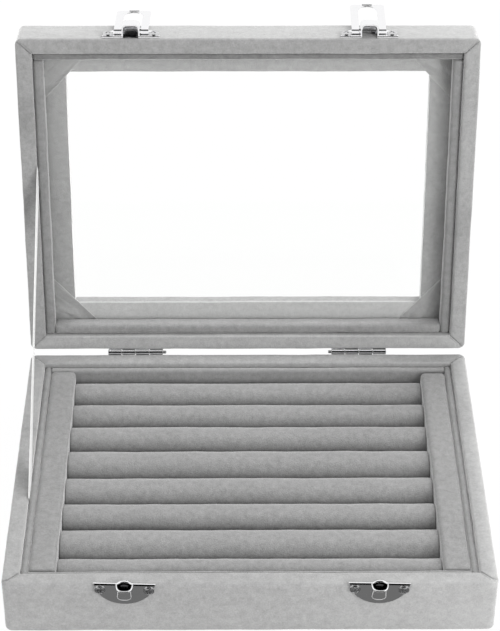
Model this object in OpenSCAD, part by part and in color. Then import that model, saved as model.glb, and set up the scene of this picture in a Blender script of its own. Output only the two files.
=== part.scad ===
// Ring display box: velvet-covered base and glazed lid, shown with the lid open.
// Origin: centre of the underside. +X right, +Y towards the hinges, +Z up. Millimetres.

/* [Box] */
// Outside width, left to right
box_w = 200; // [190:1:230]
// Outside depth, front to back
box_d = 150; // [145:1:165]
// Height of the line where the base and the lid meet
meet_h = 27.7; // [26:0.1:32]
// Height of the closed box
closed_h = 47.1; // [45:0.1:52]
// Gap between the closed rims
rim_gap = 0.4; // [0.3:0.1:0.6]
// Thickness of a wall with its velvet
wall_t = 6.9; // [6.6:0.1:8]
// Thickness of the velvet with its glue
velvet_t = 0.7; // [0.5:0.1:0.9]
// Rounding of the upright corners
corner_r = 3; // [2:0.5:5]
// Rounding of the outer edge of each rim
rim_r = 1.1; // [1:0.1:2.4]
// Rounding of the inner edge of each rim
inner_rim_r = 1.1; // [1:0.1:2]
// Rounding of the bottom and top edges of the box
edge_r = 1.8; // [1.4:0.1:4]

/* [Tray] */
// Thickness of the bottom board
board_t = 3; // [2:0.5:4]
// Thickness of the card under the rolls
card_t = 1.6; // [1:0.1:2.5]
// Thickness of the padded strips that line the walls
liner_t = 2.8; // [2.2:0.1:3]
// How far the base liners stop below the meeting line
liner_drop = 2; // [1:0.5:4]
// Width of the padded rails beside the rolls
rail_w = 11; // [9:0.1:14]
// Gap between the back of a rail and the back liner
rail_back_gap = 2; // [1:0.5:4]
// Height of the roll crests above the underside
roll_top = 22.3; // [21:0.1:23]

/* [Lid] */
// Angle at which the stay holds the lid open
open_angle = 100; // [91:0.5:105]
// Width of the window frame at the sides
frame_side_w = 20.3; // [17:0.1:26]
// Width of the window frame at the front and back
frame_end_w = 18.7; // [17:0.1:26]
// Thickness of the glass
glass_t = 2; // [1.5:0.1:2.5]
// Thickness of the velvet-covered frame around the window
frame_t = 7.5; // [6.5:0.1:8]
// Thickness of the padded strips in the lid
lid_liner_t = 4.2; // [3:0.1:4.5]

/* [Stay] */
// Width of the ribbon that stays the lid
ribbon_w = 10; // [10:1:12]
// Thickness of the ribbon
ribbon_t = 0.2; // [0.15:0.01:0.2]
// Where the ribbon leaves the base rim, from the box's middle
ribbon_base_y = -16; // [-30:1:0]
// Where the ribbon leaves the lid rim, from the box's middle
ribbon_lid_y = -8.5; // [-20:0.5:0]
// Length of each end of the ribbon glued behind a liner
ribbon_tuck = 6; // [4:0.5:6.5]

/* [Hinges] */
// Distance of the hinge pins behind the back wall
pin_back = 1.2; // [1:0.05:1.5]
// Middle of the left hinge
left_hinge_x = -51.8; // [-60:0.1:-40]
// Middle of the right hinge
right_hinge_x = 51.1; // [40:0.1:60]
// Length of a hinge
hinge_len = 25.5; // [20:0.5:30]
// Radius of the hinge barrel
barrel_r = 1.3; // [1.2:0.05:1.3]
// Radius of the hinge pin
pin_r = 0.7; // [0.6:0.05:0.7]
// Height of a hinge leaf on its wall
leaf_h = 8.5; // [8:0.5:10]

/* [Latches] */
// Middle of the left latch
left_latch_x = -50.3; // [-60:0.1:-40]
// Middle of the right latch
right_latch_x = 52; // [40:0.1:60]
// Width of a half-moon plate
plate_w = 25; // [24:0.1:28]
// Height of a half-moon plate
plate_h = 11.2; // [10:0.1:12]
// Thickness of the pressed sheet metal
sheet_t = 0.8; // [0.6:0.1:0.9]
// How far the catch nose stands out of the wall
nose_out = 5.4; // [4:0.1:5.5]
// Width of the catch nose
nose_w = 7; // [6.4:0.1:7]
// Width of the latch flap
flap_w = 14.9; // [14.5:0.1:15]
// Width of the arch through the latch flap
arch_w = 8.3; // [8:0.1:8.6]
// Length of the latch flap from its pivot
flap_len = 18.6; // [18.4:0.1:19]
// How far the left flap is lifted off the lid's front wall
left_flap_rest = 6; // [0:1:20]
// How far the right flap is lifted off the lid's front wall
right_flap_rest = 15; // [0:1:20]

/* [Hidden] */

$fn = 48;
corner_steps = 5;      // facets in each upright corner of the covers
edge_steps = 4;        // facets in each rounded edge of the covers
least_r = 0.4;         // smallest upright corner, where an inset passes corner_r
big = 400;             // larger than the box, for cuts
touch = 0.15;          // gap between soft neighbours

half_w = box_w / 2;
half_d = box_d / 2;
base_top = meet_h - rim_gap / 2;
lid_rim = meet_h + rim_gap / 2;
hinge_y = half_d + pin_back;

// Heights in the base
paper_t = 0.5;                            // paper glued under the base
turn_in = 12;                             // width of velvet turned under the base
cover_low = paper_t;                      // underside of the turned-in velvet
board_low = cover_low + velvet_t;
floor_z = board_low + board_t;            // top of the bottom board
tray_z = floor_z + card_t;                // top of the card
inner_skin_low = 10;                      // lower edge of the velvet inside the base
liner_top = meet_h - liner_drop;
liner_gap = 0.25;                         // room behind a liner for the ribbon
well_w = half_w - wall_t;                 // half the width between the walls
well_d = half_d - wall_t;
side_liner_x = well_w - liner_gap - liner_t;
end_liner_y = well_d - liner_gap - liner_t;
rail_in = side_liner_x - touch - rail_w;
rail_edge_r = 3;
roll_half_len = rail_in - touch;
roll_end_r = 2;

// Heights in the closed lid
frame_low = closed_h - frame_t;           // underside of the velvet round the window
patch_t = 0.3;
glass_top = frame_low - patch_t;
glass_low = glass_top - glass_t;
lid_liner_low = meet_h + 2.5;
frame_turn_in = 9.5;                      // where the velvet under the frame ends
glass_play = 0.3;                         // room round the glass

// Widths of the ring rolls from the back, as the soft foam lies between the liners
roll_w = [15.9, 15.2, 15.9, 17.9, 17.1, 15.1, 18.6, 14.1];

// Where the middle of ring roll k lies
function roll_y(k) = k == 0
    ? end_liner_y - touch - roll_w[0] / 2
    : roll_y(k - 1) - (roll_w[k - 1] + roll_w[k]) / 2;

// Points on an arc in a wall's section
function arc(u, z, r, a0, a1) = [for (i = [0:edge_steps])
    let (a = a0 + (a1 - a0) * i / edge_steps) [u + r * cos(a), z + r * sin(a)]];

// The outline at insets ix, iy from the box's sides, at height z
function outline(ix, iy, z) = let (r = max(corner_r - min(ix, iy), least_r))
    [for (c = [0:3]) for (i = [0:corner_steps])
        let (a = 90 * (c + i / corner_steps), sx = (c == 0 || c == 3) ? 1 : -1, sy = c < 2 ? 1 : -1)
        [sx * (half_w - ix - r) + r * cos(a), sy * (half_d - iy - r) + r * sin(a), z]];

// A closed section [inset_x, inset_y, z] carried round the box
module ring(section) {
    n = 4 * (corner_steps + 1);
    m = len(section);
    points = [for (s = section) each outline(s[0], s[1], s[2])];
    faces = [for (j = [0:m - 1]) for (i = [0:n - 1])
        let (k = (j + 1) % m, l = (i + 1) % n) [j * n + i, k * n + i, k * n + l, j * n + l]];
    polyhedron(points, faces, convexity = 6);
}

function even(section) = [for (p = section) [p[0], p[0], p[1]]];

// Base wall section, d inside the velvet's outer surface, from the bottom edge over the rim
function base_skin(d) = concat(
    arc(edge_r, cover_low + edge_r, edge_r - d, 270, 180),
    arc(rim_r, base_top - rim_r, rim_r - d, 180, 90),
    arc(wall_t - inner_rim_r, base_top - inner_rim_r, inner_rim_r - d, 90, 0));

// Lid wall section, d inside the velvet's outer surface, from inside over the rim and the top
function lid_skin(d) = concat(
    arc(wall_t - inner_rim_r, lid_rim + inner_rim_r, inner_rim_r - d, 0, -90),
    arc(rim_r, lid_rim + rim_r, rim_r - d, -90, -180),
    arc(edge_r, closed_h - edge_r, edge_r - d, 180, 90));

board_in = wall_t - velvet_t;             // inner face of the boards, as an inset
window_edge_r = 2;                        // rounding of the velvet round the window

// Turns its children from the closed lid's place to the open one
module open_lid() {
    translate([0, hinge_y, meet_h]) rotate([-open_angle, 0, 0]) translate([0, -hinge_y, -meet_h])
        children();
}

// Where a point of the closed lid goes when the lid is open
function opened(y, z) = let (v = y - hinge_y, h = z - meet_h)
    [hinge_y + v * cos(open_angle) + h * sin(open_angle),
     meet_h - v * sin(open_angle) + h * cos(open_angle)];

// Screws
screw_x = 9.8;                            // from the middle of a plate
screw_head_r = 2.3;
screw_head_h = 1.2;
screw_shank_r = 0.9;
screw_len = 5;
screw_play = 0.1;
leaf_screw_x = 8.5;
leaf_screw_z = 5.2;                       // from the meeting line
leaf_head_r = 1.6;
leaf_head_h = 0.7;
catch_top = meet_h + 0.8;                 // straight edge of the catch plate
catch_screw_z = catch_top - 3.1;
latch_low = meet_h + 1.2;                 // straight edge of the latch plate
latch_screw_z = latch_low + 2.9;
latch_xs = [left_latch_x, right_latch_x];
hinge_xs = [left_hinge_x, right_hinge_x];

// A domed screw along +Z from its seat, with a cross recess
module screw(head_r, head_h, length) {
    slot = head_r * 0.22;
    difference() {
        union() {
            intersection() {
                cylinder(h = head_h, r = head_r);
                translate([0, 0, head_h - head_r * 2]) sphere(r = head_r * 2);
            }
            translate([0, 0, -length]) cylinder(h = length + 0.1, r = screw_shank_r);
        }
        for (a = [45, 135]) rotate([0, 0, a]) translate([-head_r * 0.6, -slot / 2, head_h * 0.4])
            cube([head_r * 1.2, slot, head_h]);
    }
}

// Puts its children on the front wall's or the back wall's outer face, +Z outwards
module on_front(x, z) { translate([x, -half_d, z]) rotate([90, 0, 0]) children(); }
module on_back(x, z) { translate([x, half_d, z]) rotate([-90, 0, 0]) children(); }

// Pilot holes for every screw of the base (z_sign -1) or of the lid (z_sign 1)
module pilot_holes(front_z, z_sign) {
    r = screw_shank_r + screw_play;
    for (x = latch_xs) for (s = [-1, 1]) on_front(x + s * screw_x, front_z)
        translate([0, 0, -screw_len - screw_play]) cylinder(h = screw_len + 2, r = r);
    for (x = hinge_xs) for (s = [-1, 1]) on_back(x + s * leaf_screw_x, meet_h + z_sign * leaf_screw_z)
        translate([0, 0, -screw_len - screw_play]) cylinder(h = screw_len + 2, r = r);
}

// --- Base ---

module base_board_ring() {
    ring(even(concat(base_skin(velvet_t), [[board_in, board_low]])));
}

module base_wall_piece(low, high) {
    color("burlywood") difference() {
        intersection() {
            base_board_ring();
            translate(low) cube(high - low);
        }
        pilot_holes(catch_screw_z, -1);
    }
}

module base_front_wall() { base_wall_piece([-big, -half_d - 1, 0], [big, -half_d + board_in, meet_h]); }
module base_back_wall() { base_wall_piece([-big, half_d - board_in, 0], [big, half_d + 1, meet_h]); }
module base_left_wall() {
    base_wall_piece([-half_w - 1, -half_d + board_in, 0], [-half_w + board_in, half_d - board_in, meet_h]);
}
module base_right_wall() {
    base_wall_piece([half_w - board_in, -half_d + board_in, 0], [half_w + 1, half_d - board_in, meet_h]);
}

module base_bottom_board() {
    color("burlywood") translate([-half_w + board_in, -half_d + board_in, board_low])
        cube([box_w - 2 * board_in, box_d - 2 * board_in, board_t]);
}

module base_bottom_cover() {
    edge_in = 6;
    color("dimgray") {
        translate([-half_w + edge_in, -half_d + edge_in, 0])
            cube([box_w - 2 * edge_in, box_d - 2 * edge_in, paper_t]);
        translate([-half_w + turn_in + touch, -half_d + turn_in + touch, paper_t / 2])
            cube([box_w - 2 * (turn_in + touch), box_d - 2 * (turn_in + touch), board_low - paper_t / 2]);
    }
}

module base_velvet_cover() {
    inner = base_skin(velvet_t);
    section = concat([[turn_in, cover_low]], base_skin(0),
        [[wall_t, inner_skin_low], [board_in, inner_skin_low]],
        [for (i = [len(inner) - 1:-1:0]) inner[i]], [[turn_in, board_low]]);
    color("darkgray") difference() {
        ring(even(section));
        pilot_holes(catch_screw_z, -1);
    }
}

// A strip along +Y with a rounded top edge, standing on the tray
module liner_strip(length, t, low, high) {
    rotate([90, 0, 180]) linear_extrude(height = length, center = true) {
        translate([-t / 2, low]) square([t, high - low - t / 2]);
        translate([0, high - t / 2]) circle(r = t / 2);
    }
}

module base_side_liner(s) {
    color("darkgray") translate([s * (well_w - liner_gap - liner_t / 2), 0, 0])
        liner_strip(2 * (well_d - liner_gap), liner_t, tray_z, liner_top);
}
module base_end_liner(s) {
    color("darkgray") translate([0, s * (well_d - liner_gap - liner_t / 2), 0]) rotate([0, 0, 90])
        liner_strip(2 * (side_liner_x - touch), liner_t, tray_z, liner_top);
}
module base_liner_front() { base_end_liner(-1); }
module base_liner_back() { base_end_liner(1); }
module base_liner_left() { base_side_liner(-1); }
module base_liner_right() { base_side_liner(1); }

module insert_card() {
    play = 0.3;
    color("darkgray") translate([-well_w + play, -well_d + play, floor_z])
        cube([2 * (well_w - play), 2 * (well_d - play), card_t]);
}

// A padded rail beside the rolls: flat sides, both top edges rounded
module rail(s) {
    front = -end_liner_y + touch;
    back = end_liner_y - rail_back_gap;
    r = rail_edge_r;
    color("darkgray") translate([s * (rail_in + rail_w / 2), (front + back) / 2, 0])
        rotate([90, 0, 0]) linear_extrude(height = back - front, center = true) {
            translate([-rail_w / 2, tray_z]) square([rail_w, liner_top - r - tray_z]);
            translate([-rail_w / 2 + r, tray_z]) square([rail_w - 2 * r, liner_top - tray_z]);
            for (e = [-1, 1]) translate([e * (rail_w / 2 - r), liner_top - r]) circle(r = r);
        }
}
module insert_rail_left() { rail(-1); }
module insert_rail_right() { rail(1); }

// A ring roll: round above, straight foam below, ends drawn in where the velvet is tucked
module ring_roll(k) {
    w = roll_w[k] - touch;
    r = w / 2;
    e = roll_end_r;
    axis_z = roll_top - r;
    color("gray") translate([0, roll_y(k), 0]) {
        intersection() {
            translate([0, 0, axis_z]) rotate([0, 90, 0]) rotate_extrude() {
                translate([0, -roll_half_len + e]) square([r, 2 * (roll_half_len - e)]);
                translate([0, -roll_half_len]) square([r - e, 2 * roll_half_len]);
                for (s = [-1, 1]) translate([r - e, s * (roll_half_len - e)]) circle(r = e);
            }
            translate([-box_w / 2, -r - 1, tray_z]) cube([box_w, 2 * r + 2, roll_top]);
        }
        translate([-roll_half_len + e, -r, tray_z])
            cube([2 * (roll_half_len - e), w, axis_z - tray_z]);
    }
}
module ring_roll_1() { ring_roll(0); }
module ring_roll_2() { ring_roll(1); }
module ring_roll_3() { ring_roll(2); }
module ring_roll_4() { ring_roll(3); }
module ring_roll_5() { ring_roll(4); }
module ring_roll_6() { ring_roll(5); }
module ring_roll_7() { ring_roll(6); }
module ring_roll_8() { ring_roll(7); }

// --- Latches ---

// Half-moon of the plates: straight edge up at y = 0, round below
moon_r = (pow(plate_w / 2, 2) + pow(plate_h, 2)) / (2 * plate_h);
module half_moon() {
    intersection() {
        translate([0, moon_r - plate_h]) circle(r = moon_r);
        translate([-plate_w, -plate_h - 1]) square([2 * plate_w, plate_h + 1]);
    }
}

module plate_holes(y) {
    for (s = [-1, 1]) translate([s * screw_x, y, -1])
        cylinder(h = sheet_t + 2, r = screw_shank_r + screw_play);
}

// Scoop of the catch, g inside its outer surface: full at the top, sloping in to a round end
nose_low = 7.9;                           // below the meeting line
nose_toe = 1.9;                           // how far the round end stands out
module scoop(g) {
    r = nose_w / 2;
    reach = nose_low - (meet_h - catch_top);
    low = sheet_t - 0.1;
    hull() {
        translate([-r + g, -0.1, low]) cube([2 * (r - g), 0.1 + g, nose_out - r - low]);
        intersection() {
            translate([0, g, nose_out - r]) rotate([90, 0, 0]) cylinder(h = 0.1 + g, r = r - g, $fn = 32);
            translate([-r, -1, low]) cube([2 * r, 3, nose_out]);
        }
        translate([0, -reach + r, low]) cylinder(h = nose_toe - g - low, r = r - g, $fn = 32);
    }
}

module catch_plate(x) {
    tab_r = 4;
    tab_rise = 1.4;
    color("silver") on_front(x, catch_top) difference() {
        union() {
            linear_extrude(height = sheet_t) {
                half_moon();
                intersection() {
                    translate([0, tab_rise - tab_r]) circle(r = tab_r);
                    translate([-tab_r, -1]) square([2 * tab_r, tab_rise + 1]);
                }
            }
            difference() {
                scoop(0);
                scoop(0.6);
            }
        }
        plate_holes(catch_screw_z - catch_top);
    }
}
module catch_plate_left() { catch_plate(left_latch_x); }
module catch_plate_right() { catch_plate(right_latch_x); }

module catch_screws() {
    color("lightgray") for (x = latch_xs) for (s = [-1, 1]) on_front(x + s * screw_x, catch_screw_z)
        translate([0, 0, sheet_t]) screw(screw_head_r, screw_head_h, screw_len);
}

// The latch pivots in the cheeks of a bridge pressed out of the lid's plate; the catch's tab
// stands in the opening under it when the box is closed
pivot_up = 7.1;                           // pivot above the meeting line
pivot_out = 1.9;                          // pivot out of the lid's front wall
pivot_r = 0.7;
pivot_play = 0.05;
bridge_w = 7.8;
bridge_wall = 0.6;
bridge_out = 5.9;
bridge_low = 1.4;                         // ends of the bridge above the meeting line
bridge_high = 8.7;

module latch_plate(x) {
    color("silver") open_lid() on_front(x, meet_h) difference() {
        union() {
            translate([0, latch_low - meet_h, 0]) mirror([0, 1, 0])
                linear_extrude(height = sheet_t) half_moon();
            translate([-bridge_w / 2, bridge_low, 0])
                cube([bridge_w, bridge_high - bridge_low, bridge_out]);
        }
        translate([-bridge_w / 2 + bridge_wall, 0, -1])
            cube([bridge_w - 2 * bridge_wall, bridge_high - bridge_wall, bridge_out - bridge_wall + 1]);
        plate_holes(latch_screw_z - meet_h);
        translate([0, pivot_up, pivot_out]) rotate([0, 90, 0])
            cylinder(h = 2 * bridge_w, r = pivot_r + pivot_play, center = true);
    }
}
module latch_plate_left() { latch_plate(left_latch_x); }
module latch_plate_right() { latch_plate(right_latch_x); }

module latch_screws() {
    color("lightgray") open_lid() for (x = latch_xs) for (s = [-1, 1])
        on_front(x + s * screw_x, latch_screw_z)
            translate([0, 0, sheet_t]) screw(screw_head_r, screw_head_h, screw_len);
}

// A flap, hanging down from its pivot on +X at the origin, its face towards +Z
end_bar = 0.9;
thumb_r = 0.6;
thumb_len = 5;
module flap_shape() {
    rotate([0, 90, 0]) cylinder(h = flap_w, r = pivot_r, center = true);
    translate([0, 0, -sheet_t / 2]) linear_extrude(height = sheet_t) difference() {
        translate([-flap_w / 2, -flap_len]) square([flap_w, flap_len]);
        hull_y = -flap_len + end_bar + arch_w / 2;
        translate([-arch_w / 2, hull_y]) square([arch_w, flap_len]);
        translate([0, hull_y]) circle(r = arch_w / 2);
    }
    translate([0, -flap_len, thumb_r - sheet_t]) rotate([0, 90, 0])
        cylinder(h = thumb_len, r = thumb_r, center = true);
}

// Turned back over the lid's front wall, then lifted by rest degrees
module latch_flap(x, rest) {
    color("gainsboro") open_lid() on_front(x, meet_h + pivot_up) translate([0, 0, pivot_out])
        rotate([rest - 180, 0, 0]) flap_shape();
}
module latch_flap_left() { latch_flap(left_latch_x, left_flap_rest); }
module latch_flap_right() { latch_flap(right_latch_x, right_flap_rest); }

// --- Hinges ---

knuckles = 4;
knuckle_gap = 0.3;
knuckle_len = hinge_len / knuckles;
pin_play = 0.05;

// A leaf on the back wall, with every second knuckle from the first one; lid leaves go upwards
module hinge_leaf(x, first, up) {
    clear = barrel_r + 0.3;
    leaf_from = up > 0 ? clear : -clear - leaf_h;
    difference() {
        union() {
            translate([x - hinge_len / 2, half_d, meet_h + leaf_from]) cube([hinge_len, sheet_t, leaf_h]);
            for (k = [first:2:knuckles - 1])
                translate([x - hinge_len / 2 + k * knuckle_len + knuckle_gap / 2, 0, meet_h]) {
                    translate([0, hinge_y, 0]) rotate([0, 90, 0])
                        cylinder(h = knuckle_len - knuckle_gap, r = barrel_r);
                    translate([0, half_d, up > 0 ? 0 : -clear - 0.1])
                        cube([knuckle_len - knuckle_gap, sheet_t, clear + 0.1]);
                }
        }
        translate([x, hinge_y, meet_h]) rotate([0, 90, 0])
            cylinder(h = 2 * hinge_len, r = pin_r + pin_play, center = true);
        for (s = [-1, 1]) on_back(x + s * leaf_screw_x, meet_h + up * leaf_screw_z)
            translate([0, 0, -1]) cylinder(h = sheet_t + 2, r = screw_shank_r + screw_play);
    }
}
module base_hinge_leaf_left() { color("silver") hinge_leaf(left_hinge_x, 0, -1); }
module base_hinge_leaf_right() { color("silver") hinge_leaf(right_hinge_x, 0, -1); }
module lid_hinge_leaf_left() { color("silver") open_lid() hinge_leaf(left_hinge_x, 1, 1); }
module lid_hinge_leaf_right() { color("silver") open_lid() hinge_leaf(right_hinge_x, 1, 1); }

module hinge_screws(up) {
    for (x = hinge_xs) for (s = [-1, 1]) on_back(x + s * leaf_screw_x, meet_h + up * leaf_screw_z)
        translate([0, 0, sheet_t]) screw(leaf_head_r, leaf_head_h, screw_len);
}
module base_hinge_screws() { color("lightgray") hinge_screws(-1); }
module lid_hinge_screws() { color("lightgray") open_lid() hinge_screws(1); }

// The pin's tail stands out at the end towards the box's middle
module hinge_pin(x, inward) {
    tail = 1.4;
    color("gray") translate([x - hinge_len / 2 + (inward < 0 ? -tail : 0), hinge_y, meet_h])
        rotate([0, 90, 0]) cylinder(h = hinge_len + tail, r = pin_r);
}
module hinge_pin_left() { hinge_pin(left_hinge_x, 1); }
module hinge_pin_right() { hinge_pin(right_hinge_x, -1); }

// --- Lid ---

module lid_wall_piece(low, high) {
    section = even(concat(
        arc(wall_t - inner_rim_r, lid_rim + inner_rim_r, inner_rim_r - velvet_t, 0, -90),
        arc(rim_r, lid_rim + rim_r, rim_r - velvet_t, -90, -180),
        [[velvet_t, frame_low + velvet_t], [board_in, frame_low + velvet_t]]));
    color("burlywood") open_lid() difference() {
        intersection() {
            ring(section);
            translate(low) cube(high - low);
        }
        pilot_holes(latch_screw_z, 1);
    }
}
module lid_front_wall() { lid_wall_piece([-big, -half_d - 1, 0], [big, -half_d + board_in, closed_h]); }
module lid_back_wall() { lid_wall_piece([-big, half_d - board_in, 0], [big, half_d + 1, closed_h]); }
module lid_left_wall() {
    lid_wall_piece([-half_w - 1, -half_d + board_in, 0], [-half_w + board_in, half_d - board_in, closed_h]);
}
module lid_right_wall() {
    lid_wall_piece([half_w - board_in, -half_d + board_in, 0], [half_w + 1, half_d - board_in, closed_h]);
}

module lid_window_frame() {
    low = frame_low + velvet_t;
    window = arc(-window_edge_r, closed_h - window_edge_r, window_edge_r - velvet_t, 90, 0);
    section = concat(
        even(concat([[velvet_t, low]], arc(edge_r, closed_h - edge_r, edge_r - velvet_t, 180, 90))),
        [for (p = window) [frame_side_w + p[0], frame_end_w + p[0], p[1]]],
        [[frame_side_w - velvet_t, frame_end_w - velvet_t, low]]);
    color("burlywood") open_lid() ring(section);
}

module lid_velvet_cover() {
    window = arc(-window_edge_r, closed_h - window_edge_r, window_edge_r, 90, 0);
    window_in = arc(-window_edge_r, closed_h - window_edge_r, window_edge_r - velvet_t, 0, 90);
    inner = lid_skin(velvet_t);
    section = concat(
        even(concat([[wall_t, glass_low - 0.2]], lid_skin(0))),
        [for (p = window) [frame_side_w + p[0], frame_end_w + p[0], p[1]]],
        [[frame_side_w, frame_end_w, frame_low]],
        even([[frame_turn_in, frame_low], [frame_turn_in, frame_low + velvet_t]]),
        [[frame_side_w - velvet_t, frame_end_w - velvet_t, frame_low + velvet_t]],
        [for (p = window_in) [frame_side_w + p[0], frame_end_w + p[0], p[1]]],
        even([for (i = [len(inner) - 1:-1:0]) inner[i]]),
        even([[board_in, glass_low - 0.2]]));
    color("darkgray") open_lid() difference() {
        ring(section);
        pilot_holes(latch_screw_z, 1);
    }
}

module window_glass() {
    x = half_w - board_in - glass_play;
    y = half_d - board_in - glass_play;
    color("azure", 0.4) open_lid() translate([-x, -y, glass_low]) cube([2 * x, 2 * y, glass_t]);
}

// Triangles of velvet that cover the cuts at the window's corners, seen through the glass
patch_leg = 20.5;
module window_corner_patches() {
    corner_x = half_w - frame_turn_in - 0.5;
    corner_y = half_d - frame_turn_in - 0.5;
    color("darkgray") open_lid() for (sx = [-1, 1]) for (sy = [-1, 1])
        translate([0, 0, glass_top]) linear_extrude(height = patch_t)
            polygon([[sx * corner_x, sy * corner_y], [sx * (corner_x - patch_leg), sy * corner_y],
                [sx * corner_x, sy * (corner_y - patch_leg)]]);
}

// A padded strip along +Y on a lid wall, its flat back at X = 0, both edges of its face rounded
module lid_liner_strip(from, to) {
    low_r = 1.5;
    high_r = 1;
    translate([0, to, 0]) rotate([90, 0, 0]) linear_extrude(height = to - from) hull() {
        translate([-0.5, lid_liner_low]) square([0.5, glass_low - lid_liner_low]);
        translate([low_r - lid_liner_t, lid_liner_low + low_r]) circle(r = low_r);
        translate([high_r - lid_liner_t, glass_low - high_r]) circle(r = high_r);
    }
}

// The front strip is the longest, the side strips run from it to the back wall
lid_strip_end = lid_liner_t + touch;
module lid_side_liner(s) {
    long = well_d - liner_gap;
    color("darkgray") open_lid() mirror([s < 0 ? 1 : 0, 0, 0]) translate([well_w - liner_gap, 0, 0])
        lid_liner_strip(lid_strip_end - long, long);
}
module lid_end_liner(s, long) {
    color("darkgray") open_lid() rotate([0, 0, s * 90]) translate([well_d - liner_gap, 0, 0])
        lid_liner_strip(-long, long);
}
module lid_liner_front() { lid_end_liner(-1, well_w - liner_gap); }
module lid_liner_back() { lid_end_liner(1, well_w - liner_gap - lid_strip_end); }
module lid_liner_left() { lid_side_liner(-1); }
module lid_liner_right() { lid_side_liner(1); }

// --- Stay ---

module stay_ribbon() {
    a = [ribbon_base_y, meet_h];
    b = opened(ribbon_lid_y, meet_h);
    span = norm(b - a);
    slope = atan2(b[1] - a[1], b[0] - a[0]);
    x = -well_w + liner_gap / 2;
    color("white") translate([x - ribbon_t / 2, a[0], a[1]]) rotate([slope, 0, 0])
        translate([0, -ribbon_tuck, -ribbon_w / 2]) cube([ribbon_t, span + 2 * ribbon_tuck, ribbon_w]);
}

base_front_wall();
base_back_wall();
base_left_wall();
base_right_wall();
base_bottom_board();
base_bottom_cover();
base_velvet_cover();
base_liner_front();
base_liner_back();
base_liner_left();
base_liner_right();
insert_card();
insert_rail_left();
insert_rail_right();
ring_roll_1();
ring_roll_2();
ring_roll_3();
ring_roll_4();
ring_roll_5();
ring_roll_6();
ring_roll_7();
ring_roll_8();
catch_plate_left();
catch_plate_right();
catch_screws();
base_hinge_leaf_left();
base_hinge_leaf_right();
base_hinge_screws();
hinge_pin_left();
hinge_pin_right();
stay_ribbon();
lid_front_wall();
lid_back_wall();
lid_left_wall();
lid_right_wall();
lid_window_frame();
lid_velvet_cover();
window_glass();
window_corner_patches();
lid_liner_front();
lid_liner_back();
lid_liner_left();
lid_liner_right();
latch_plate_left();
latch_plate_right();
latch_screws();
lid_hinge_leaf_left();
lid_hinge_leaf_right();
lid_hinge_screws();
latch_flap_left();
latch_flap_right();
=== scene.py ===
# Ring display box: velvet over board, a glazed lid on two hinges, two latches.
import bmesh
import bpy
import math
import numpy as np
import re
from mathutils import Matrix


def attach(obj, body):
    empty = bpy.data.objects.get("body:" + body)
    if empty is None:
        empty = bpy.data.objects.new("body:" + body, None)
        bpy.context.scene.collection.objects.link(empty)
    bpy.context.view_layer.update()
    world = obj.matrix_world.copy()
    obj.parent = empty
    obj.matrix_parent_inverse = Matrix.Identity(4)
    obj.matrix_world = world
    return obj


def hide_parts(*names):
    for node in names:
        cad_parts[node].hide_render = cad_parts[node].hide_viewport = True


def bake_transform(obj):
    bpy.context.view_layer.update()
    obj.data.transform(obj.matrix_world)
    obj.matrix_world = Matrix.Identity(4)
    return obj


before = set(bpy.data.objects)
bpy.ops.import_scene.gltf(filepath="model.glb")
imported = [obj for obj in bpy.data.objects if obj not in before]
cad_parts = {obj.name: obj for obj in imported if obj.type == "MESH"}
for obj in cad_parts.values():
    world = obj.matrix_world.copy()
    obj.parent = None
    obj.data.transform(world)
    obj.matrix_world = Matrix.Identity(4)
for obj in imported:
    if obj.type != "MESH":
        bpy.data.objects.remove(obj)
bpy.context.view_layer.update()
print("frame loaded")

# Sizes in millimetres, as in the part's source
box = dict(
    width=200, depth=150, height=47.1, meet=27.7, rimGap=0.4, bottom=0.5,
    wall=6.9, velvet=0.7, corner=3, rim=1.1, innerRim=1.1, edge=1.8,
    openAngle=100, pinBack=1.2, liner=0.25, tray=5.8, sheet=0.8,
)
metre = 0.001
quarters = ((1, 1), (-1, 1), (-1, -1), (1, -1))
halfW, halfD = box["width"] / 2, box["depth"] / 2
baseTop = box["meet"] - box["rimGap"] / 2
lidRim = box["meet"] + box["rimGap"] / 2
hingeY = halfD + box["pinBack"]
wellW, wellD = halfW - box["wall"], halfD - box["wall"]
boardIn = box["wall"] - box["velvet"]
trayZ, sheetT = box["tray"], box["sheet"]


# Turns points of the closed lid about the hinge pin to where they are with the lid open
def openLid(p):
    a = math.radians(box["openAngle"])
    v, h = p[..., 1] - hingeY, p[..., 2] - box["meet"]
    return xyz(
        p[..., 0],
        hingeY + v * math.cos(a) + h * math.sin(a),
        box["meet"] - v * math.sin(a) + h * math.cos(a))


# The base is drawn where it stands
def closedPlace(p):
    return p


# Puts coordinates together as points
def xyz(*parts):
    return np.stack(np.broadcast_arrays(*parts), -1)


# Angles from nought to a right angle
def quarterTurn(steps):
    return np.linspace(0, math.pi / 2, steps + 1)


# A bell curve: 1 at the middle, falling off over the width
def bell(value, middle, width):
    return np.exp(-((value - middle) / width) ** 2)


# Turns the first two coordinates clockwise
def turnFlat(p, a):
    return xyz(p[..., 0] * math.cos(a) + p[..., 1] * math.sin(a),
               p[..., 1] * math.cos(a) - p[..., 0] * math.sin(a), p[..., 2])


waves = dict(count=10, least=0.6, most=1.5, spread=4.5)


# A sum of plane waves in random directions, wavelengths about size, mostly from -1 to 1
def softNoise(p, size, seed):
    rng = np.random.default_rng(seed)
    aim = rng.normal(size=(waves["count"], 3))
    aim /= np.linalg.norm(aim, axis=1)[:, None]
    aim *= (2 * math.pi / size * rng.uniform(waves["least"], waves["most"], waves["count"]))[:, None]
    phase = rng.uniform(0, 2 * math.pi, waves["count"])
    return np.sin(p @ aim.T + phase).sum(-1) / waves["spread"]


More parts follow.
